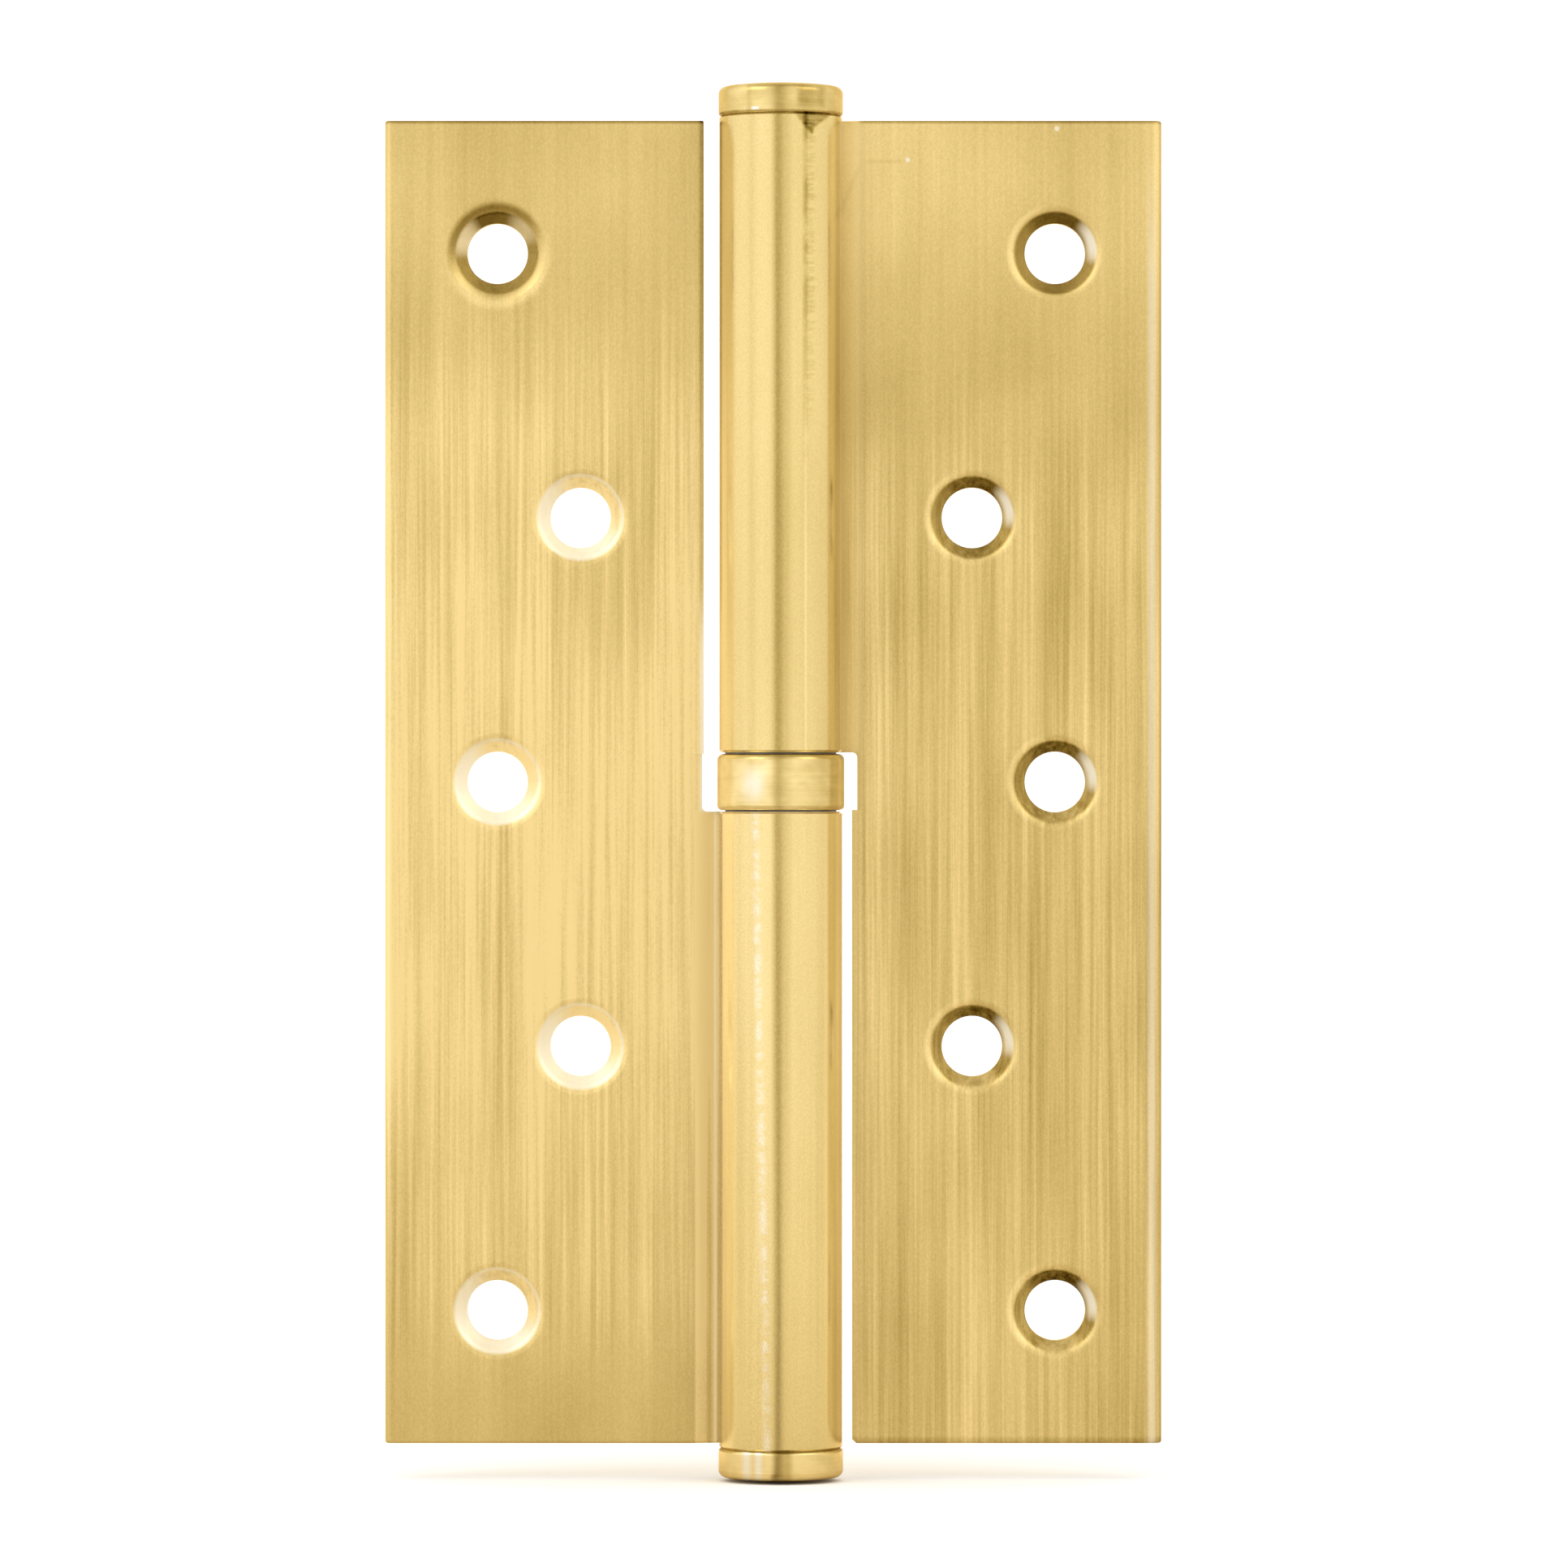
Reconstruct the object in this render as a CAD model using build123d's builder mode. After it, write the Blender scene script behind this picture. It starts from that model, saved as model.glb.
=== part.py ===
from build123d import *
import os
from math import acos, atan2, cos, degrees, hypot, sin

os.makedirs("parts", exist_ok=True)

# Lift-off hinge for a room door, lying open flat.
# X runs towards the door leaf, Y runs away from the viewer into the wood, Z runs up the pin.
# The origin lies on the pin axis, level with the middle screw holes.

# Leaves, both pressed from the same steel strip
leaf_height = 125.0
sheet = 2.5
closed_gap = 3.0  # air between the leaves when the door is shut
edge_r = 0.25  # top and bottom edges of the front face
frame_reach = 37.4  # from the pin axis to the outer edge
door_reach = 36.0
frame_long_edge_r = 0.6  # front rounding along the outer edge
door_long_edge_r = 0.9
frame_free_edge = 7.3  # from the pin axis to the edge beside the other knuckle
door_free_edge = 6.75
frame_bearing_edge = 7.45  # from the pin axis to the edge beside the bearing
door_bearing_edge = 7.25
notch_corner_r = 0.5
frame_foot_bevel = 0.1  # cut off the inner corner of a free half
door_foot_bevel = 0.4

# Screw holes, five in a leaf, every second one nearer to the pin
hole_pitch = 25.0
hole_d = 5.75
sink_d = 8.2
sink_angle = 90.0
sink_rim_r = 1.2  # soft rim left by the punch
frame_outer_row = 26.8  # from the pin axis to the row of three
door_outer_row = 25.95
row_step = 7.85  # from the row of three to the row of two

# Knuckles, rolled from the back of the leaf over the front
pin_d = 6.5
running_fit = 0.05  # radial air between the pin and the door knuckle
bearing_space = 5.6  # between the two knuckles
knuckle_overhang = 0.3  # beyond the top or bottom edge of the leaf
knuckle_bevel = 0.2
seam_gap = 0.15  # between the rolled edge and the leaf
frame_crank = 8.8  # from the pin axis to where the leaf bends back
door_crank = 8.05
crank_bend_r = 2.0  # at the middle of the sheet

# Pin
pin_engagement = 37.0  # length inside the door knuckle
pin_point = 1.2  # bevel that leads the door knuckle on
pin_foot_bevel = 0.5

# End caps, turned buttons pressed into the bores
cap_d = 11.74
cap_height = 3.1
cap_dome = 0.45
cap_edge_r = 0.7
cap_foot_r = 0.3
cap_stem = 5.5
cap_stem_bevel = 0.4

# Thrust bearing in its pressed shell
shell_d = 12.0
shell_height = 5.3
shell_wall = 0.4
shell_lip = 0.3  # how far the crimped rims reach inwards
shell_upper_edge_r = 0.6
shell_lower_edge_r = 0.45
shell_play = 0.05  # between the shell and the races
race_bore_d = 7.0
ball_d = 1.5875
ball_count = 17
ball_play = 0.01  # grease film on each side of a ball
groove_depth = 0.25
groove_excess = 0.05  # groove radius over ball radius

# Derived sizes
half_height = leaf_height / 2
front = closed_gap / 2
back = front + sheet
bore_r = pin_d / 2 + running_fit
knuckle_r = bore_r + sheet
knuckle_start = bearing_space / 2
knuckle_end = half_height + knuckle_overhang
shell_end = shell_height / 2


def rolled_leaf(reach, long_edge_r, free_edge, foot_bevel, bearing_edge, outer_row, crank):
    """One leaf, placed with its knuckle in the upper half and its plate towards +X."""
    # The sheet leaves the roll along a straight slope and bends once more into the flat plate.
    leaf_middle = front + sheet / 2
    roll_middle = bore_r + sheet / 2
    bend_centre = Vector(crank, leaf_middle + crank_bend_r)
    lean = atan2(bend_centre.Y, bend_centre.X)
    lean += acos((roll_middle + crank_bend_r) / hypot(bend_centre.X, bend_centre.Y))
    outward = Vector(cos(lean), sin(lean))
    along_slope = Vector(sin(lean), -cos(lean))
    front_bend = bend_centre - outward * (crank_bend_r + sheet / 2)
    back_bend = bend_centre - outward * (crank_bend_r - sheet / 2)

    # The rolled edge stops just before it would touch the slope.
    free_end = lean - acos((bore_r - seam_gap) / knuckle_r)
    roll_sweep = 360 - degrees(lean - free_end)

    with BuildPart() as roll:
        with BuildSketch(Plane.XY.offset(knuckle_start)):
            with BuildLine():
                outside = CenterArc((0, 0), knuckle_r, degrees(lean), roll_sweep)
                inside = CenterArc((0, 0), bore_r, degrees(lean), roll_sweep)
                Line(outside @ 0, inside @ 0)
                Line(outside @ 1, inside @ 1)
            make_face()
        extrude(amount=knuckle_end - knuckle_start)
        rims = roll.edges().filter_by(GeomType.CIRCLE)
        chamfer(rims.filter_by(lambda rim: rim.radius > roll_middle), knuckle_bevel)

    with BuildPart() as leaf:
        # Upper half with its cranked edge, down to the lower end of the notch
        with BuildSketch(Plane.XY.offset(-shell_end)):
            with BuildLine():
                Line(outward * bore_r, front_bend)
                TangentArc(front_bend, (crank, front), tangent=along_slope)
                Polyline((crank, front), (reach, front), (reach, back), (crank, back))
                TangentArc((crank, back), back_bend, tangent=(-1, 0))
                Polyline(back_bend, outward * knuckle_r, outward * bore_r)
            make_face()
        extrude(amount=half_height + shell_end)

        # Notch beside the bearing
        with BuildSketch(Plane.XZ.offset(-knuckle_r)):
            with Locations((0, -shell_end)):
                notch = Rectangle(
                    bearing_edge, shell_end + knuckle_start, align=(Align.MIN, Align.MIN)
                )
            fillet(notch.vertices().group_by(Axis.X)[-1].sort_by(Axis.Z)[-1], notch_corner_r)
        extrude(amount=2 * knuckle_r, mode=Mode.SUBTRACT)

        # Lower half, free beside the other knuckle
        with BuildSketch(Plane.XZ.offset(-back)):
            with Locations((free_edge, -half_height)):
                half = Rectangle(
                    reach - free_edge, half_height - shell_end, align=(Align.MIN, Align.MIN)
                )
            foot = half.vertices().group_by(Axis.X)[0].sort_by(Axis.Z)[0]
            chamfer(foot, foot_bevel)
        extrude(amount=sheet)

        # Front edges, softened by polishing and most of all along the outer side
        outline = leaf.faces().filter_by(Axis.Y).sort_by(Axis.Y)[0].edges()
        fillet(outline.filter_by(Axis.Z).sort_by(Axis.X)[-1], long_edge_r)
        outline = leaf.faces().filter_by(Axis.Y).sort_by(Axis.Y)[0].edges()
        across = outline.filter_by(Axis.X).sort_by(Axis.Z)
        fillet([across[0], across[-1]], edge_r)

        # Screw holes, sunk from the front
        rows = [outer_row, outer_row - row_step]
        spots = [(rows[abs(step) % 2], step * hole_pitch) for step in range(-2, 3)]
        with Locations(Plane.XZ.offset(-front)):
            with Locations(*spots):
                CounterSinkHole(hole_d / 2, sink_d / 2, sheet, sink_angle)
        rims = leaf.edges().filter_by(GeomType.CIRCLE)
        fillet(rims.filter_by(lambda rim: abs(rim.radius - sink_d / 2) < 0.01), sink_rim_r)

        add(roll.part)
    return leaf.part


# Frame leaf, screwed to the jamb with its knuckle below
with BuildPart() as frame_leaf:
    blank = rolled_leaf(
        frame_reach,
        frame_long_edge_r,
        frame_free_edge,
        frame_foot_bevel,
        frame_bearing_edge,
        frame_outer_row,
        frame_crank,
    )
    add(blank, rotation=(0, 180, 0))
frame_leaf.part.label = "frame_leaf"
export_step(frame_leaf.part, "parts/frame_leaf.step")

# Door leaf, screwed to the door with its knuckle above
with BuildPart() as door_leaf:
    blank = rolled_leaf(
        door_reach,
        door_long_edge_r,
        door_free_edge,
        door_foot_bevel,
        door_bearing_edge,
        door_outer_row,
        door_crank,
    )
    add(blank)
door_leaf.part.label = "door_leaf"
export_step(door_leaf.part, "parts/door_leaf.step")


# Pin: a foot pressed into the frame knuckle and a slimmer shank for the door knuckle
pin_bottom = -knuckle_end + cap_stem
pin_top = knuckle_start + pin_engagement
with BuildPart() as hinge_pin:
    with Locations((0, 0, pin_bottom)):
        Cylinder(
            bore_r,
            -knuckle_start - pin_bottom,
            align=(Align.CENTER, Align.CENTER, Align.MIN),
        )
    chamfer(hinge_pin.edges().filter_by(GeomType.CIRCLE), pin_foot_bevel)
    with Locations((0, 0, -knuckle_start - pin_foot_bevel)):
        Cylinder(
            pin_d / 2,
            pin_top + knuckle_start + pin_foot_bevel,
            align=(Align.CENTER, Align.CENTER, Align.MIN),
        )
    chamfer(hinge_pin.edges().filter_by(GeomType.CIRCLE).sort_by(Axis.Z)[-1], pin_point)
hinge_pin.part.label = "hinge_pin"
export_step(hinge_pin.part, "parts/hinge_pin.step")


# End cap, turned with a domed head and a stem that is pressed into the knuckle
with BuildPart() as cap:
    with BuildSketch(Plane.XZ):
        with BuildLine():
            Polyline(
                (0, 0),
                (0, -cap_stem),
                (bore_r - cap_stem_bevel, -cap_stem),
                (bore_r, -cap_stem + cap_stem_bevel),
                (bore_r, 0),
                (cap_d / 2, 0),
                (cap_d / 2, cap_height - cap_dome),
            )
            TangentArc((0, cap_height), (cap_d / 2, cap_height - cap_dome), tangent=(1, 0))
            Line((0, cap_height), (0, 0))
        make_face()
    revolve(axis=Axis.Z)
    rims = cap.edges().filter_by(GeomType.CIRCLE)
    foot, edge = rims.filter_by(lambda rim: abs(rim.radius - cap_d / 2) < 0.01).sort_by(Axis.Z)
    fillet(edge, cap_edge_r)
    fillet(foot, cap_foot_r)

with BuildPart() as top_cap:
    with Locations((0, 0, knuckle_end)):
        add(cap.part)
top_cap.part.label = "top_cap"
export_step(top_cap.part, "parts/top_cap.step")

with BuildPart() as bottom_cap:
    with Locations((0, 0, -knuckle_end)):
        add(cap.part, rotation=(180, 0, 0))
bottom_cap.part.label = "bottom_cap"
export_step(bottom_cap.part, "parts/bottom_cap.step")


# Bearing races, each standing a little out of the shell so that it bears on its knuckle
shell_bore_r = shell_d / 2 - shell_wall
lip_r = shell_bore_r - shell_lip
race_bore_r = race_bore_d / 2
race_r = shell_bore_r - shell_play
neck_r = lip_r - shell_play
race_shoulder = shell_end - shell_wall - shell_play
pitch_r = (race_bore_r + race_r) / 2
ball_r = ball_d / 2
groove_r = ball_r + groove_excess
groove_floor = ball_r + ball_play
race_face = groove_floor - groove_depth

with BuildPart() as upper_race:
    with BuildSketch(Plane.XZ):
        with BuildLine():
            Polyline(
                (race_bore_r, race_face),
                (race_r, race_face),
                (race_r, race_shoulder),
                (neck_r, race_shoulder),
                (neck_r, knuckle_start),
                (race_bore_r, knuckle_start),
                close=True,
            )
        make_face()
        with Locations((pitch_r, groove_floor - groove_r)):
            Circle(groove_r, mode=Mode.SUBTRACT)
    revolve(axis=Axis.Z)
upper_race.part.label = "upper_race"
export_step(upper_race.part, "parts/upper_race.step")

with BuildPart() as lower_race:
    add(upper_race.part, rotation=(180, 0, 0))
lower_race.part.label = "lower_race"
export_step(lower_race.part, "parts/lower_race.step")


# Bearing shell, a pressed ring whose rims are crimped in over the races
with BuildPart() as bearing_shell:
    with BuildSketch(Plane.XZ) as shell_half:
        with Locations((lip_r, 0)):
            Rectangle(shell_d / 2 - lip_r, shell_height, align=(Align.MIN, Align.CENTER))
        upper_corner = shell_half.vertices().group_by(Axis.X)[-1].sort_by(Axis.Z)[-1]
        fillet(upper_corner, shell_upper_edge_r)
        lower_corner = shell_half.vertices().group_by(Axis.X)[-1].sort_by(Axis.Z)[0]
        fillet(lower_corner, shell_lower_edge_r)
        with Locations((lip_r, 0)):
            Rectangle(
                shell_lip,
                shell_height - 2 * shell_wall,
                align=(Align.MIN, Align.CENTER),
                mode=Mode.SUBTRACT,
            )
    revolve(axis=Axis.Z)
bearing_shell.part.label = "bearing_shell"
export_step(bearing_shell.part, "parts/bearing_shell.step")


# Row of bearing balls, standing shoulder to shoulder between the races
ball_spots = PolarLocations(pitch_r, ball_count).locations
for number, spot in enumerate(ball_spots, start=1):
    name = f"ball_{number:02d}"
    with BuildPart() as ball:
        with Locations(spot):
            Sphere(ball_r)
    ball.part.label = name
    export_step(ball.part, f"parts/{name}.step")
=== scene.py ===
# %% [markdown]
# # A lift-off door hinge in satin gold
#
# The hinge is two leaves of steel sheet, each with a knuckle rolled on its edge, a pin
# with a thrust bearing, and a turned cap on each end. Every piece of it comes from the
# CAD model, so this script only dresses those solids: it gives them their metals, and
# then builds the floor, the light and the camera around them.

# %% Load the frame
import math

import bpy
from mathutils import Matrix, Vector


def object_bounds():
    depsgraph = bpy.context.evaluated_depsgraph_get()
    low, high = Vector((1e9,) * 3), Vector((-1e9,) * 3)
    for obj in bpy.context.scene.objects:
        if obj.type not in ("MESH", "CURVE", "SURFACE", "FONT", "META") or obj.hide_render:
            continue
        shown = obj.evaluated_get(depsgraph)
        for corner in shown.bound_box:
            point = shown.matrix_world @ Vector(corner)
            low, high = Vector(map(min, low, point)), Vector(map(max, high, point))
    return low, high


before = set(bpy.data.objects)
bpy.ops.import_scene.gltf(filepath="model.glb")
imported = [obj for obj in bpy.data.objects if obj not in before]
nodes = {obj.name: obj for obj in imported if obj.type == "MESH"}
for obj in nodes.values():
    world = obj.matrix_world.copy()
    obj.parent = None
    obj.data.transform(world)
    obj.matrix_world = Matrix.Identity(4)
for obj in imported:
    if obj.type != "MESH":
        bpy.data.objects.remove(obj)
MM = 0.001


def plain_box(box):
    """A box as plain lists of numbers, ready for a JSON file."""
    return [[float(value) for value in corner] for corner in box]


cad_box = plain_box(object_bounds())
size_mm = [(high - low) / MM for low, high in zip(*cad_box)]
print("CAD box in mm:", [round(value, 1) for value in size_mm])

# %% [markdown]
# ## Writing shader maths as Python
#
# A metal finish is mostly arithmetic on a position: how far from the pin, how far up the
# leaf, how strong a scratch is there. Shader nodes can do it, but a page of boxes and
# wires is hard to read. So one small class wraps a socket and lets Python's own operators
# add the Math nodes. Each operator comes in two forms, so that `1 - mask` works too.
# Numbers alone never reach the class: Python works those out before any node is made.


# %% A socket that can be added and multiplied
class Wire:
    """One number, vector or colour socket inside a node tree."""

    def __init__(self, tree, socket):
        self.tree = tree
        self.socket = socket

    def node(self, kind, settings, inputs, output=0):
        """Add a node: its settings first, then the values or links of its sockets."""
        return add_node(self.tree, kind, settings, inputs, output)

    def maths(self, operation, *values):
        """Add a Math node whose sockets get the values in order."""
        settings = {"operation": operation}
        return self.node("ShaderNodeMath", settings, dict(enumerate(values)))

    def __add__(self, other):
        return self.maths("ADD", self, other)

    def __sub__(self, other):
        return self.maths("SUBTRACT", self, other)

    def __rsub__(self, other):
        return self.maths("SUBTRACT", other, self)

    def __mul__(self, other):
        return self.maths("MULTIPLY", self, other)

    def __truediv__(self, other):
        return self.maths("DIVIDE", self, other)

    def __pow__(self, other):
        return self.maths("POWER", self, other)

    def __abs__(self):
        return self.maths("ABSOLUTE", self)

    __radd__ = __add__
    __rmul__ = __mul__

    def larger(self, other):
        return self.maths("MAXIMUM", self, other)

    def clamped(self, low, high):
        """Kept between low and high."""
        raised = self.larger(low)
        return raised.maths("MINIMUM", raised, high)

    def step(self, start, end):
        """0 before start and 1 after end, with a soft ramp between; start may be the larger."""
        inputs = {"Value": self, "From Min": start, "From Max": end}
        return self.node("ShaderNodeMapRange", {"interpolation_type": "SMOOTHSTEP"}, inputs)

    def bump_of(self, middle, half_width):
        """1 at the middle, falling softly to 0 at half_width on either side."""
        return abs(self - middle).step(half_width, 0.0)

    def between(self, start, end, soft):
        """1 from start to end, with edges that are soft over the given width."""
        return self.step(start - soft, start + soft) * self.step(end + soft, end - soft)


def add_node(tree, kind, settings, inputs, output=0):
    """Add any node and wrap one of its outputs; a Wire among the inputs becomes a link."""
    node = tree.nodes.new(kind)
    for name, value in settings.items():
        setattr(node, name, value)
    for name, value in inputs.items():
        if isinstance(value, Wire):
            tree.links.new(value.socket, node.inputs[name])
        else:
            node.inputs[name].default_value = value
    return Wire(tree, node.outputs[output])


def mix_colour(factor, first, second):
    """The first colour where factor is 0 and the second where it is 1."""
    tree = factor.tree
    mix = tree.nodes.new("ShaderNodeMix")
    mix.data_type = "RGBA"
    colour_inputs = [socket for socket in mix.inputs if socket.type == "RGBA"]
    tree.links.new(factor.socket, mix.inputs[0])
    for socket, value in zip(colour_inputs, (first, second)):
        if isinstance(value, Wire):
            tree.links.new(value.socket, socket)
        else:
            socket.default_value = (*value, 1.0)
    colour_output = [socket for socket in mix.outputs if socket.type == "RGBA"][0]
    return Wire(tree, colour_output)


# %% [markdown]
# ## Position, streaks and grain
#
# All patterns are laid out in the hinge's own millimetres. Object coordinates give them,
# because every CAD node keeps the place of its piece in its vertices, and they travel with
# a leaf when the door swings. Brushing and rolling both leave marks that run up the pin,
# so the basic pattern is noise that is stretched up to a hundred times along Z.


# %% Patterns in millimetres
EDGE_TINT = (1.0, 0.86, 0.62)  # what a gold face keeps of its colour when seen along it


class Place:
    """Position on the hinge, in millimetres, with the patterns that are built on it."""

    def __init__(self, tree):
        self.tree = tree
        metres = add_node(tree, "ShaderNodeTexCoord", {}, {}, "Object")
        scaled = {0: metres, "Scale": 1 / MM}
        self.vector = metres.node("ShaderNodeVectorMath", {"operation": "SCALE"}, scaled)
        self.x, self.y, self.z = self.parts(self.vector)
        square = self.x * self.x + self.y * self.y
        self.from_pin = square**0.5

    def parts(self, vector):
        """The three numbers of a vector."""
        split = self.tree.nodes.new("ShaderNodeSeparateXYZ")
        self.tree.links.new(vector.socket, split.inputs[0])
        return [Wire(self.tree, socket) for socket in split.outputs]

    def from_nearest(self, centre_x, centre_z, pitch):
        """(across, up, distance) from the nearest of a column of holes that repeat by pitch."""
        across = self.x - centre_x
        up = self.z.maths("WRAP", self.z - centre_z, pitch / 2, -pitch / 2)
        square = across * across + up * up
        return across, up, square**0.5

    def noise(self, per_mm, detail=2.0, seed=0.0, roughness=0.5):
        """Noise from 0 to 1 with its own number of cells per millimetre along each axis."""
        stretched = self.vector.node(
            "ShaderNodeVectorMath", {"operation": "MULTIPLY"}, {0: self.vector, 1: per_mm}
        )
        moved = stretched.node(
            "ShaderNodeVectorMath", {"operation": "ADD"}, {0: stretched, 1: (seed, 2 * seed, 3 * seed)}
        )
        inputs = {"Vector": moved, "Scale": 1.0, "Detail": detail, "Roughness": roughness}
        return moved.node("ShaderNodeTexNoise", {"noise_dimensions": "3D"}, inputs)


def new_metal(name, edge_tint=EDGE_TINT):
    """A plain metal, with its tree and its shader."""
    material = bpy.data.materials.new(name)
    material.use_nodes = True
    tree = material.node_tree
    shader = tree.nodes["Principled BSDF"]
    shader.inputs["Metallic"].default_value = 1.0
    shader.inputs["Specular Tint"].default_value = (*edge_tint, 1.0)
    return material, tree, shader


def finish_metal(tree, shader, colour, roughness, height, relief_mm):
    """Join colour, roughness and a relief in millimetres to the shader."""
    normal = height.node(
        "ShaderNodeBump", {}, {"Strength": 1.0, "Distance": relief_mm * MM, "Height": height}
    )
    for socket, wire in (("Base Color", colour), ("Roughness", roughness), ("Normal", normal)):
        tree.links.new(wire.socket, shader.inputs[socket])


def dress(material, *names):
    """Give one material to the named pieces."""
    for name in names:
        nodes[name].data.materials.clear()
        nodes[name].data.materials.append(material)
    print(material.name, "on", ", ".join(names))


# %% [markdown]
# ## The gold of the plating
#
# Gold-coloured plating is deeper in colour where it is darker: green falls a little faster
# than red, and blue falls a lot faster. So the finish is driven by one number, its tone, and
# the colour follows from that number by powers. A tone of 1 is clean polished plating.
#
# Where gold mirrors gold the tint would count twice and turn orange. The photo keeps one
# hue even there, so for a mirrored ray most of the tint is left out.

# %% Plating colour
PLATING = (1.0, 0.775, 0.345)
GREEN_FALL = 1.15
BLUE_FALL = 1.8
TINT_LEFT_OUT = 0.85  # share of the tint that a mirrored ray doesn't meet


def plating(tone):
    """The colour of the gold where it has the given tone."""
    tone = tone.clamped(0.05, 1.0)
    untinted = add_node(tone.tree, "ShaderNodeLightPath", {}, {}, "Is Glossy Ray") * TINT_LEFT_OUT
    green_tint, blue_tint = [tint + untinted * (1 - tint) for tint in PLATING[1:]]
    channels = {
        "Red": tone * PLATING[0],
        "Green": tone**GREEN_FALL * green_tint,
        "Blue": tone**BLUE_FALL * blue_tint,
    }
    return tone.node("ShaderNodeCombineColor", {}, channels)


print("clean plating:", PLATING)

# %% [markdown]
# ## Satin gold on the leaves and knuckles
#
# The real leaves are sheet steel that was brushed up and down and then plated. Streaks of
# three widths make the brushing: hairlines, strokes and bands. Slow blotches stand for pressure
# that changed along the way. The brush hardly touched the top of either leaf, nor the foot of
# the frame leaf, so the streaks fade there.
#
# The knuckles are the same plated sheet, but rolling has burnished them. So the distance
# from the pin decides between the two: fewer streaks and a smoother surface on the roll.
# Rubbed marks and painted highlights share one pale colour. What is rubbed pale is covered in fine
# scratches that scatter light in all directions, so it is made less of a metal there, and so are the
# painted highlights, which keeps them bright.

# %% Leaf metal
KNUCKLE_R = 5.8
KNUCKLE_START = 2.8  # where a roll begins, above or below the middle
KNUCKLE_END = 62.8  # where it meets its cap, in a groove that has painted shade
# Pale colour for rubbed marks and for painted highlights.
PALE_MARK_COLOUR = (1.0, 0.96, 0.83)
RELIEF_MM = 0.012  # the leaf's bump has its heights in this unit


def leaf_metal(name, seed, level, roll_tone, marks, brushed, holes):
    """The metal of one leaf.

    level gives the tone of the clean metal at a place; marks gives its changes and its pale spots, which
    are rubbed marks and painted highlights.
    brushed is the lowest and highest place that the brush reached; holes is for around_holes.
    """
    material, tree, shader = new_metal(name)
    place = Place(tree)
    on_roll = place.from_pin.step(KNUCKLE_R + 0.3, KNUCKLE_R + 0.1)

    hairlines = place.noise((8.0, 8.0, 0.06), seed=seed)
    strokes = place.noise((2.1, 2.1, 0.03), seed=seed + 3)
    bands = place.noise((0.3, 0.3, 0.012), seed=seed + 7)
    blotches = place.noise((0.09, 0.09, 0.05), seed=seed + 13)
    grain = place.noise((7.0, 7.0, 5.0), detail=3.0, seed=seed + 11)

    foot, top = brushed
    brushing = place.z.step(top + 22, top) * place.z.step(foot - 9, foot) * 0.75 + 0.25
    brushing = brushing * (1 - on_roll * 0.8)
    streaks = ((hairlines - 0.5) * 0.2 + (strokes - 0.5) * 0.52 + (bands - 0.5) * 0.35) * brushing
    uneven = (blotches - 0.5) * 0.3 * (1 - on_roll * 0.6) + (grain - 0.5) * 0.24
    leaf_tone = level(place)
    mark_tone, mark_pale = marks(place)
    hole_tone, hole_pale, hole_height = around_holes(place, *holes)
    tone = leaf_tone + (roll_tone - leaf_tone) * on_roll + streaks + uneven + mark_tone + hole_tone
    in_groove = abs(place.z).step(KNUCKLE_END - 0.25, KNUCKLE_END - 0.05)
    pale = (mark_pale + hole_pale).clamped(0.0, 1.0)
    # Painted shade in the groove where the roll meets its cap, deeper at the bottom one.
    groove_shade = in_groove * (place.z.step(-50.0, -60.0) * 0.2 + 0.12)
    colour = mix_colour(pale, plating(tone - groove_shade), PALE_MARK_COLOUR)

    roughness = 0.48 - on_roll * 0.28 + (strokes - 0.5) * 0.16 + (grain - 0.5) * 0.08 - pale * 0.1
    height = (hairlines * 0.5 + strokes) * brushing + grain * (0.3 - on_roll * 0.2) + hole_height
    finish_metal(tree, shader, colour, roughness, height, RELIEF_MM)
    metallic = 1 - pale * 0.75  # fine scratches of rubbed marks scatter light as cloth does, and the painted highlights share this
    tree.links.new(metallic.socket, shader.inputs["Metallic"])
    return material


# %% [markdown]
# ## Screw holes
#
# The screw holes sit in two columns, and each is countersunk. In the photo their cones are dark with
# bright spots on the door leaf and nearly all bright on the frame leaf; here that dark is painted shade
# and the bright spots and rings are painted highlights.
# Only the frame leaf's top hole is dark like the others, and it was pressed so hard that the
# sheet dips around it. The solid has a small round there, and a bump widens it.
#
# The functions frame_hole and door_hole say what surrounds one hole, and around_holes repeats
# that up both columns.

# %% Screw holes
HOLE_PITCH = 50.0  # from hole to hole in one column
SINK_R = 3.9
DIP_R = 5.3
DIP_MM = 0.3


def frame_hole(place, distance, in_cone, towards):
    """Tone, pale spots and height around one hole; towards(x, z) is 1 in that direction. The dark cone
    and the shadow are painted shade; the spots, bright sides, rim ring and glow are painted highlights.
    """
    pressed = place.z.step(36.0, 40.0)
    spots = towards(-0.9, 0.43).step(0.8, 1.04) + towards(0.72, 0.69).step(0.82, 1.06) * 0.7
    top = towards(0.0, 1.0)
    cone_tone = in_cone * (spots * 0.6 - top.step(0.2, 1.0) * 0.2 - 0.32)
    shadow = distance.between(SINK_R, 4.7, 0.35) * towards(-0.4, 0.92).step(-0.4, 0.7)
    glow = distance.between(DIP_R - 1.0, DIP_R, 0.4) * towards(0.0, -1.0).step(0.2, 0.9)
    bright_sides = towards(-1.0, 0.1).step(0.2, 1.0) + towards(0.2, -0.98).step(0.3, 1.0)
    pale_spots = in_cone * (bright_sides * 0.6 + 0.1) + distance.bump_of(SINK_R + 0.1, 0.25) * 0.4
    pressed_tone = cone_tone - shadow * 0.4 + glow * 0.12
    tone = pressed * pressed_tone + (1 - pressed) * in_cone * 0.1
    pale = pressed * in_cone * spots * 0.4 + (1 - pressed) * pale_spots
    height = pressed * distance.step(DIP_R, SINK_R - 0.3) * (-DIP_MM / RELIEF_MM)
    return tone, pale, height


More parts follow.
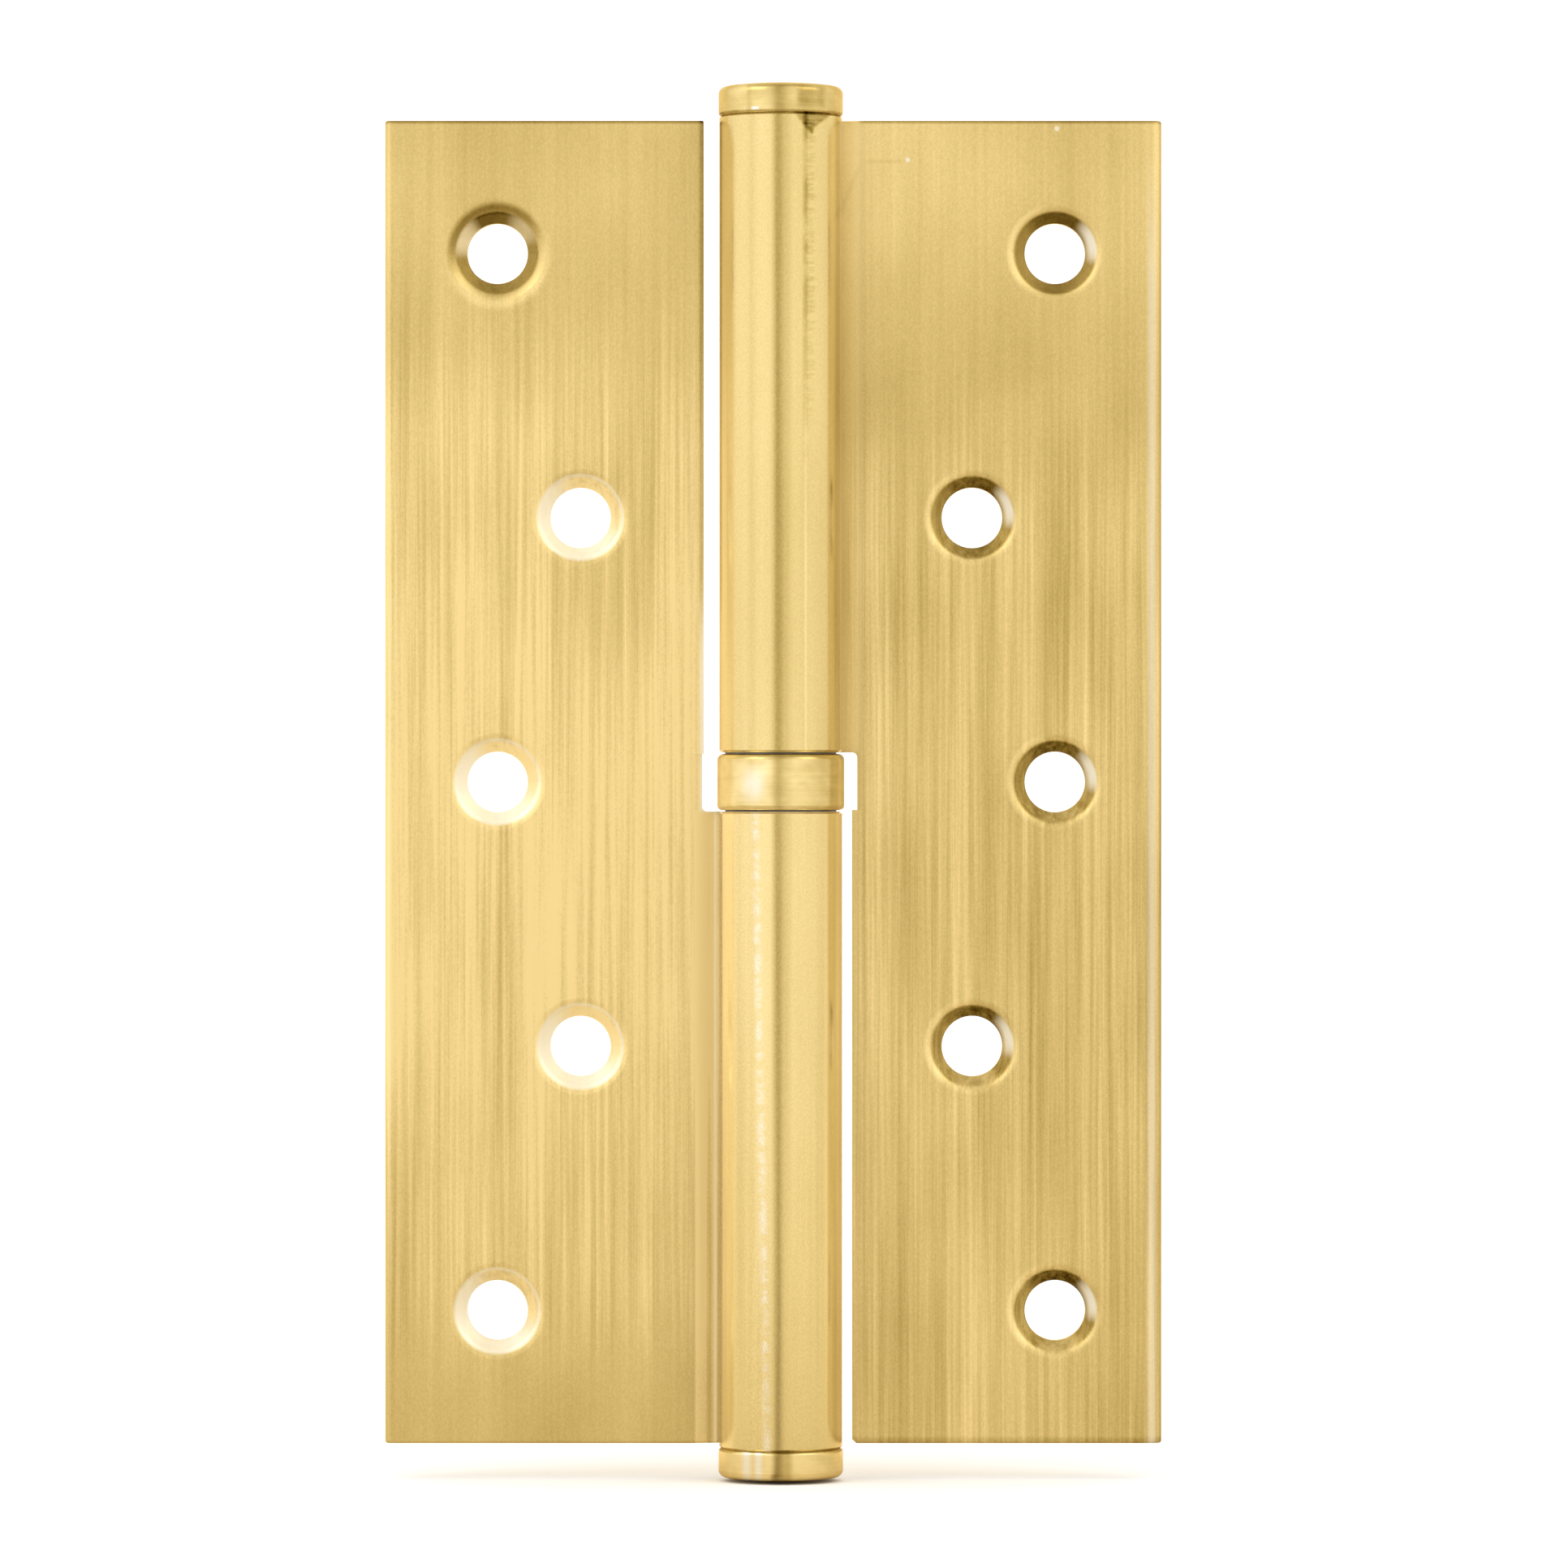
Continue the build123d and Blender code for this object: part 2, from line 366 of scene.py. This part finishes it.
def door_hole(place, distance, in_cone, towards):
    """The same around one hole of the door leaf, which has no relief of its own. Its dark cone and dark
    top are painted shade, and its spots and glow are painted highlights.
    """
    hot_spot = towards(0.95, 0.31).step(0.78, 1.04) * distance.step(2.7, 3.5)
    low_spot = towards(0.15, -0.99).step(0.75, 1.0) * place.z.step(10.0, -10.0)
    dark_top = towards(0.25, 0.97).step(0.3, 0.8)
    cone_tone = in_cone * (hot_spot * 0.5 + low_spot * 0.4 - dark_top * 0.22 - 0.34)
    glow = distance.between(4.1, 4.6, 0.2) * towards(-0.98, 0.2).step(0.2, 0.8) * 0.12
    return cone_tone + glow, in_cone * hot_spot, 0.0


def around_holes(place, outer_x, inner_x, one_hole):
    """What the screw holes in both columns add to the front of a leaf."""
    sums = [0.0, 0.0, 0.0]
    front_half = place.y.step(3.4, 3.0)
    for centre_x, centre_z in ((outer_x, 0.0), (inner_x, HOLE_PITCH / 2)):
        across, up, distance = place.from_nearest(centre_x, centre_z, HOLE_PITCH)
        in_cone = distance.step(SINK_R + 0.15, SINK_R - 0.15)

        def towards(x, z):
            return (across * x + up * z) / distance

        parts = one_hole(place, distance, in_cone, towards)
        sums = [total + front_half * part for total, part in zip(sums, parts)]
    return sums


print("screw holes every", HOLE_PITCH / 2, "mm, in two columns by turns")

# %% [markdown]
# ## Frame leaf
#
# Each leaf has marks of its own from the rolling tool, and painted light and shade besides, and they are
# placed where the photo shows them. So the numbers here are mostly places on the hinge in millimetres,
# and the last factor of each mark is the tone that it adds or takes away. On the frame leaf the tool left
# a rough strip down the front of the roll, which drifts to the right on its way down; its brightness is a
# painted highlight. The sheared edge of the roll shows as a second rough strip, beside the bend. Painted
# light lies on the left side of the roll and on the slope from the bend to the plate, with a painted
# highlight on the bend, and painted shade lies on a line in the slope and along the top edge.

# %% Frame leaf


def frame_level(place):
    """Tone of the clean metal: brightest in the middle, duller at the top and the foot."""
    z = place.z
    level = z.bump_of(-4.0, 64.0) * 0.2 + 0.77
    level = level + z.bump_of(33.0, 9.0) * 0.05 - z.bump_of(46.0, 12.0) * 0.05
    return level - z.step(56.0, 62.0) * 0.03 - z.step(-46.0, -58.0) * 0.07


def frame_marks(place):
    """What the marks add to the tone, and where they are rubbed pale."""
    lower = place.z.step(-KNUCKLE_START + 0.3, -KNUCKLE_START - 0.3)
    in_front = place.y.step(1.0, 0.0)
    dashes = place.noise((0.8, 0.8, 1.4), detail=3.0, seed=91.0).step(0.35, 0.62)
    speckle = place.noise((6.0, 6.0, 5.0), seed=93.0).step(0.4, 0.65)
    beside_line = place.x + place.z * 0.02 + 2.5
    rough = dashes * 0.35 + dashes * speckle * 0.5 + 0.05
    # The rough strip left by the tool, with its brightness a painted highlight.
    rough_line_highlight = beside_line.bump_of(0.0, 0.62) * rough * in_front * lower
    torn_foot = place.x.between(-3.2, -0.8, 0.5) * place.z.step(-40.0, -56.0) * (speckle - 0.3) * 0.06
    sheared_edge = place.x.between(-6.0, -5.5, 0.06) * (speckle * 0.25 - 0.5)
    # Painted light on the left side of the roll.
    roll_side_light = place.x.step(-4.2, -4.8) * 0.16
    on_roll = (torn_foot + sheared_edge + roll_side_light) * in_front
    # Painted light on the slope from the bend to the plate, with a painted dark line along it.
    slope_shading = place.x.between(-8.1, -6.0, 0.15) * 0.25 - place.x.bump_of(-6.75, 0.4) * 0.22
    # Painted highlight on the bend beside the lower roll.
    bend_highlight = place.x.bump_of(-6.2, 0.22) * lower * 0.5
    free_edge = place.x.step(-7.9, -7.45) * (1 - lower)
    worn_edge = free_edge * place.z.step(20.0, 10.0)
    # Painted shade along the top edge.
    top_edge_shade = place.z.step(62.1, 62.4) * -0.35
    tone = (on_roll + slope_shading) * lower - (free_edge - worn_edge) * 0.3 + top_edge_shade
    return tone, rough_line_highlight * 0.6 + bend_highlight + worn_edge * 0.5


frame_holes = (-26.8, -18.95, frame_hole)
frame_gold = leaf_metal(
    "frame_leaf_gold", 0.0, frame_level, 0.82, frame_marks, (-48.0, 30.0), frame_holes
)
dress(frame_gold, "frame_leaf")

# %% [markdown]
# ## Door leaf
#
# On the door leaf the tool tore a rough line down the front of the roll, worst under the cap, and left a
# faint print beside it with a bright chip at its corner. A second chip is at the top edge. The seam where
# the rolled edge ends is dark with painted shade. The slope from there to the flat plate mirrors the
# roll, so it gets a little painted light to make up for that, and the left side of the roll gets some
# too. The outer edge is rounder than the others, with a painted highlight along it and painted shade on
# its far rounding; the top and bottom edges have painted shade.

# %% Door leaf


def door_level(place):
    """Tone of the clean metal: duller below the top hole and along the outer edge."""
    z = place.z
    inner = place.x.step(20.0, 7.5)
    level = z.bump_of(36.0, 16.0) * -0.08 + z.step(15.0, 0.0) * 0.02 + 0.765
    level = level - place.x.step(20.0, 32.0) * z.step(30.0, 10.0) * 0.05
    level = level + z.step(46.0, 62.0) * (inner * 0.1 + 0.03)
    level = level + place.x.bump_of(9.5, 2.5) * z.bump_of(-4.0, 45.0) * 0.06
    return level


def door_marks(place):
    """The same for the door leaf."""
    upper = place.z.step(KNUCKLE_START - 0.3, KNUCKLE_START + 0.3)
    in_front = place.y.step(1.0, 0.0)
    patches = place.noise((0.5, 0.5, 0.45), detail=2.0, seed=95.0).step(0.3, 0.6)
    ribs = place.noise((0.5, 0.5, 4.5), detail=3.0, seed=97.0).step(0.36, 0.6)
    fading = place.z.step(20.0, 52.0)
    gouge = place.x.between(2.1, 2.5, 0.2) * (patches * 0.6 + 0.4) * -0.26
    ragged_x = place.x - ribs * 0.6
    torn_side = place.x.step(2.2, 2.5) * ragged_x.step(2.9, 2.3) * (ribs * 0.5 + patches * 0.5) * -0.14
    torn_line = (gouge + torn_side) * fading
    smooth_line = place.x.bump_of(2.35, 0.2) * (1 - fading) * 0.12
    below_rim = (place.z - 60.9) * 0.9 - abs(place.x - 2.9) + patches * 0.3
    under_cap = below_rim.step(-0.1, 0.5) * (ribs * 0.25 + patches * 0.35 + 0.4) * -0.4
    # Painted shade in the seam where the rolled edge ends.
    seam_shade = place.x.bump_of(5.37, 0.45) * -0.2
    # Painted light on the left side of the roll.
    roll_side_light = place.x.step(-4.2, -4.8) * place.z.step(50.0, 20.0) * 0.1
    on_roll = (torn_line + smooth_line + under_cap + roll_side_light) * in_front
    # Painted light on the slope, which mirrors the roll.
    slope_shading = place.x.between(5.7, 7.4, 0.2) * 0.1
    chips = 0.0
    for chip_x, chip_z in ((26.1, 61.75), (12.0, 58.8)):
        aside = abs(place.x - chip_x) ** 2 + abs(place.z - chip_z) ** 2
        chips = chips + aside.step(0.1, 0.01) * 0.55
    tool_side = (place.x - place.z * 0.45 + 18.7).bump_of(0.0, 0.45) * place.z.between(53.0, 58.0, 0.8)
    tool_top = place.z.bump_of(58.65, 0.35) * place.x.between(8.2, 11.6, 0.6)
    tool_print = (tool_side + tool_top) * -0.06
    # Painted shade along the bottom edge and the top edge of the plate.
    edge_shade = place.z.step(-61.7, -62.2) * -0.15 + place.z.step(62.1, 62.4) * place.x.step(7.0, 8.0) * -0.35
    on_roll = (on_roll + seam_shade + slope_shading) * upper * place.x.step(8.5, 8.0)
    # Painted shade on the far rounding of the outer edge, and a painted highlight along it.
    outer_edge_shade = place.x.step(35.65, 35.9) * -0.2
    in_front_half = place.y.step(3.4, 3.0)
    edge_highlight = place.x.bump_of(35.05, 0.65) * place.z.step(62.0, 45.0) * 0.34
    return on_roll + tool_print + edge_shade + outer_edge_shade, edge_highlight + chips * in_front_half


door_holes = (25.95, 18.1, door_hole)
door_gold = leaf_metal(
    "door_leaf_gold", 20.0, door_level, 0.75, door_marks, (-70.0, 20.0), door_holes
)
dress(door_gold, "door_leaf")

# %% [markdown]
# ## Caps and bearing ring
#
# The caps are turned and the ring is pressed, and both were polished before plating, so
# they are smoother than the leaves. Turning leaves faint rings across the metal instead of
# streaks along it, which is noise stretched the other way: fine along Z and long around.

# %% Turned and pressed gold


def top_cap_marks(place):
    stain = place.x.between(1.6, 4.1, 0.4) * place.z.between(63.4, 65.3, 0.5)
    scratch = place.x.bump_of(-3.0, 0.4)
    chip = place.x.between(-2.7, -2.1, 0.15) * place.z.between(63.05, 63.3, 0.08)
    # The darker middle here is a painted reflection of the dark slot.
    return stain * -0.24 - scratch * 0.1 - place.x.bump_of(0.0, 1.0) * 0.06, chip * 0.9


def bottom_cap_marks(place):
    # Two pale stripes on the left are painted highlights, the darker middle is a painted reflection of
    # the dark slot, and the darker right side is painted shade.
    pale_spots = place.x.bump_of(-3.2, 0.7) + place.x.bump_of(-2.1, 0.6)
    return place.x.between(-0.7, 1.0, 0.4) * -0.26 - place.x.step(1.5, 5.0) * 0.1, pale_spots * 0.6


def ring_marks(place):
    # A pale patch on the left is a painted highlight; the darker right side and the upper shoulder are
    # painted shade.
    pale_spots = place.x.bump_of(-2.6, 1.6) * place.z.bump_of(-0.2, 2.4)
    shoulder_shade = place.z.step(2.0, 2.3) * -0.2
    return place.x.step(1.0, 4.5) * -0.16 + shoulder_shade, pale_spots * 0.5


def turned_metal(name, seed, brightness, smoothness, marks):
    """marks gives the tone of the marks and the pale spots at a place, on the front only; most of them
    are painted reflection, shade and highlights.
    """
    material, tree, shader = new_metal(name)
    place = Place(tree)
    rings = place.noise((0.15, 0.15, 5.0), seed=seed)
    blotches = place.noise((0.5, 0.5, 0.7), seed=seed + 1)
    grain = place.noise((8.0, 8.0, 8.0), detail=3.0, seed=seed + 2)
    tone = (rings - 0.5) * 0.12 + (blotches - 0.5) * 0.35 + (grain - 0.5) * 0.1 + brightness
    in_front = place.y.step(0.5, -0.5)
    in_groove = abs(place.z).between(KNUCKLE_END, KNUCKLE_END + 0.2, 0.1)
    mark_tone, pale_spots = marks(place)
    # Painted shade in the groove where the cap meets its roll, deeper at the bottom cap.
    tone = tone + mark_tone * in_front - in_groove * (place.z.step(-50.0, -60.0) * 0.25 + 0.15)
    colour = mix_colour(pale_spots * in_front, plating(tone), PALE_MARK_COLOUR)
    roughness = (grain - 0.5) * 0.12 + smoothness
    height = rings * 0.4 + grain * 0.3
    finish_metal(tree, shader, colour, roughness, height, 0.005)
    return material


# The caps are one part: the top cap is given a darker tone and the bottom cap a lighter one, as painted
# shade and painted light.
dress(turned_metal("top_cap_gold", 40.0, 0.72, 0.28, top_cap_marks), "top_cap")
dress(turned_metal("bottom_cap_gold", 45.0, 0.97, 0.2, bottom_cap_marks), "bottom_cap")
dress(turned_metal("ring_gold", 50.0, 0.84, 0.24, ring_marks), "bearing_shell")

# %% [markdown]
# ## Bare steel inside
#
# The pin, the races and the balls are hidden while the hinge is closed up, and seen once
# the door is lifted off. They are hardened bare steel: the pin is ground and carries a film
# of grease with a few bright rubbed lines, the races are turned and dark with grease, and the
# balls are mirrors.

# %% Steels
BRIGHT_STEEL = (0.74, 0.75, 0.77)
DULL_STEEL = (0.16, 0.13, 0.09)


def steel(name, seed, cells, brightness, smoothness, relief_mm):
    """cells is how many marks there are in a millimetre along each axis."""
    material, tree, shader = new_metal(name, edge_tint=(1.0, 1.0, 1.0))
    place = Place(tree)
    marks = place.noise(cells, seed=seed)
    stain = place.noise((0.4, 0.4, 0.4), detail=4.0, seed=seed + 5)
    tone = ((marks - 0.5) * 0.5 + (stain - 0.5) * 0.6 + brightness).step(0.0, 1.0)
    colour = mix_colour(tone, DULL_STEEL, BRIGHT_STEEL)
    roughness = smoothness + (stain - 0.5) * 0.15
    finish_metal(tree, shader, colour, roughness, marks, relief_mm)
    return material


balls = sorted(name for name in nodes if name.startswith("ball_"))
dress(steel("pin_steel", 60.0, (0.3, 0.3, 8.0), 0.65, 0.24, 0.004), "hinge_pin")
dress(steel("race_steel", 70.0, (0.3, 0.3, 6.0), 0.1, 0.45, 0.005), "lower_race", "upper_race")
dress(steel("ball_steel", 80.0, (1.0, 1.0, 1.0), 0.9, 0.1, 0.0005), *balls)

# %% [markdown]
# ## Floor and backdrop
#
# One sheet of paper serves as both: flat under the hinge, then curved up behind it, so that
# no horizon line crosses the picture. The camera sees it white all over. The hinge mirrors
# the part in front of it, which the tent keeps in shade: for all other rays that part is
# grey, and dark along the line to the camera. Angles around the hinge are azimuths in
# degrees, 0 towards the camera and positive to the right.

# %% Paper sweep
FLOOR_Z = cad_box[0][2]
SWEEP_R = 0.4
WALL_Y = 1.1
WALL_TOP = 1.6
HALF_WIDTH = 2.2
NEAR_Y = -0.4


def sweep_profile():
    """The paper seen from its side, as (y, z) from the near edge to the top of the wall."""
    points = [(NEAR_Y, FLOOR_Z), (WALL_Y - SWEEP_R, FLOOR_Z)]
    for step in range(1, 17):
        angle = math.radians(90 * step / 16)
        y = WALL_Y - SWEEP_R + SWEEP_R * math.sin(angle)
        z = FLOOR_Z + SWEEP_R - SWEEP_R * math.cos(angle)
        points.append((y, z))
    points.append((WALL_Y, WALL_TOP))
    return points


def make_paper():
    profile = sweep_profile()
    vertices = [(side * HALF_WIDTH, y, z) for y, z in profile for side in (-1, 1)]
    faces = [(2 * i, 2 * i + 1, 2 * i + 3, 2 * i + 2) for i in range(len(profile) - 1)]
    mesh = bpy.data.meshes.new("paper_sweep")
    mesh.from_pydata(vertices, [], faces)
    mesh.polygons.foreach_set("use_smooth", [True] * len(faces))
    paper = bpy.data.objects.new("paper_sweep", mesh)
    bpy.context.scene.collection.objects.link(paper)
    return paper


def azimuth_of(east, north):
    """Degrees around the hinge, 0 towards the camera and positive to the right."""
    return east.maths("ARCTAN2", east, 0 - north) * (180 / math.pi)


def camera_slot(azimuth):
    """1 at the dark camera, less at the grey stand and arm to the right of it, 0 elsewhere."""
    camera = azimuth.bump_of(-6.0, 14.0)
    arm = azimuth.between(-11.0, 19.0, 6.0)
    return camera * 0.62 + arm * 0.4


paper = make_paper()
white = bpy.data.materials.new("white_paper")
white.use_nodes = True
paper_tree = white.node_tree
paper_shader = paper_tree.nodes["Principled BSDF"]
paper_shader.inputs["Roughness"].default_value = 0.9
to_camera = add_node(paper_tree, "ShaderNodeLightPath", {}, {}, "Is Camera Ray")
paper_place = Place(paper_tree)
stand = camera_slot(azimuth_of(paper_place.x, paper_place.y)) * paper_place.y.step(0.0, -8.0)
shaded = (paper_place.y.step(60.0, -20.0) * 0.42).larger(stand)
mirrored_paper = mix_colour(shaded, (0.93, 0.9, 0.84), (0.22, 0.18, 0.11))
paper_colour = mix_colour(to_camera, mirrored_paper, (0.97, 0.97, 0.97))
paper_tree.links.new(paper_colour.socket, paper_shader.inputs["Base Color"])
paper.data.materials.append(white)
print("paper from y", NEAR_Y, "to", WALL_Y, "m")

# %% [markdown]
# ## Light
#
# Metal shows what stands around it, so lighting it means placing bright and dark things
# for it to mirror. The world is white where the camera looks at it. In reflections it is
# the inside of a light tent of white cloth with a dark slot where the camera looks in. The
# barrel mirrors that slot as one dark line down its middle. The cloth is darker behind the
# hinge and overhead, and a fold on the left gives the barrel its second, fainter line. Cloth
# in shade takes on the warm colour of the gold, so green and blue fall with its brightness.
# The lamp above is kept out of the mirrors, because it would put bright arcs on the cap.

# %% Light tent
world = bpy.data.worlds.new("light_tent")
bpy.context.scene.world = world
world.use_nodes = True
sky = world.node_tree
background = sky.nodes["Background"]

direction = add_node(sky, "ShaderNodeTexCoord", {}, {}, "Generated")
split = sky.nodes.new("ShaderNodeSeparateXYZ")
sky.links.new(direction.socket, split.inputs[0])
east, north, up = [Wire(sky, socket) for socket in split.outputs]

azimuth = azimuth_of(east, north)

CLOTH = 1.3
slot = camera_slot(azimuth)
fold = azimuth.bump_of(-56.0, 12.0)
right_side = azimuth.between(24.0, 110.0, 10.0)
shade = azimuth.step(-80.0, -125.0) + azimuth.step(60.0, 130.0)
roof = up.step(0.3, 0.75) * 0.12 + up.step(0.8, 0.97) * 0.4
tent = CLOTH - slot * 0.75 - fold * 0.16 - right_side * 0.14 - shade * 0.1 - roof

rays = sky.nodes.new("ShaderNodeLightPath")
seen = Wire(sky, rays.outputs["Is Camera Ray"])
mirrored = Wire(sky, rays.outputs["Is Glossy Ray"]).larger(
    Wire(sky, rays.outputs["Is Transmission Ray"])
)
FILL = 1.1  # what the tent sends to matt surfaces


def tent_channel(fall):
    """One colour channel: white for the camera, the tent for mirrors, even light for the rest."""
    return seen + (1 - seen) * (mirrored * tent**fall + (1 - mirrored) * FILL)


channels = {"Red": tent_channel(1.0), "Green": tent_channel(GREEN_FALL), "Blue": tent_channel(BLUE_FALL)}
tent_colour = seen.node("ShaderNodeCombineColor", {}, channels)
sky.links.new(tent_colour.socket, background.inputs["Color"])
background.inputs["Strength"].default_value = 1.0


def soft_box(name, place, aim, width, height, watts):
    """An area lamp that faces the point aim."""
    lamp = bpy.data.lights.new(name, "AREA")
    lamp.shape = "RECTANGLE"
    lamp.size = width
    lamp.size_y = height
    lamp.energy = watts
    holder = bpy.data.objects.new(name, lamp)
    holder.location = place
    holder.rotation_euler = (Vector(aim) - Vector(place)).to_track_quat("-Z", "Y").to_euler()
    bpy.context.scene.collection.objects.link(holder)
    print(name, watts, "W")
    return holder


soft_box("left_box", (-0.75, -0.6, 0.7), (0, 0, 0), 0.6, 0.6, 1.7)
soft_box("right_box", (0.8, -0.5, 0.65), (0, 0, 0), 0.6, 0.6, 1.4)
top_box = soft_box("top_box", (0.0, -0.1, 1.0), (0, 0, 0), 0.8, 0.6, 2.0)
top_box.visible_glossy = False

# %% [markdown]
# ## Camera
#
# The camera stands straight in front of the hinge, level with the middle of the pin. It is
# a long lens, 0.83 m away, so the near barrel looks hardly larger than the leaves.

# %% Camera
IMAGE_PX = 1932
MM_PER_PX = 0.0767  # at the front faces of the leaves
LEAF_Y = 1.5 * MM
DISTANCE = 0.83
PIN_PX = (962.0, 963.5)

view_width = IMAGE_PX * MM_PER_PX * MM
camera_data = bpy.data.cameras.new("camera")
camera_data.sensor_width = 36.0
camera_data.lens = 36.0 * (DISTANCE + LEAF_Y) / view_width
camera_data.clip_start = 0.01
camera = bpy.data.objects.new("camera", camera_data)
offset_px = (IMAGE_PX / 2 - PIN_PX[0], PIN_PX[1] - IMAGE_PX / 2)
camera.location = (offset_px[0] * MM_PER_PX * MM, -DISTANCE, offset_px[1] * MM_PER_PX * MM)
camera.rotation_euler = (math.radians(90), 0, 0)
bpy.context.scene.collection.objects.link(camera)
bpy.context.scene.camera = camera
bpy.context.scene.view_settings.view_transform = "Standard"
print("lens", round(camera_data.lens, 1), "mm")
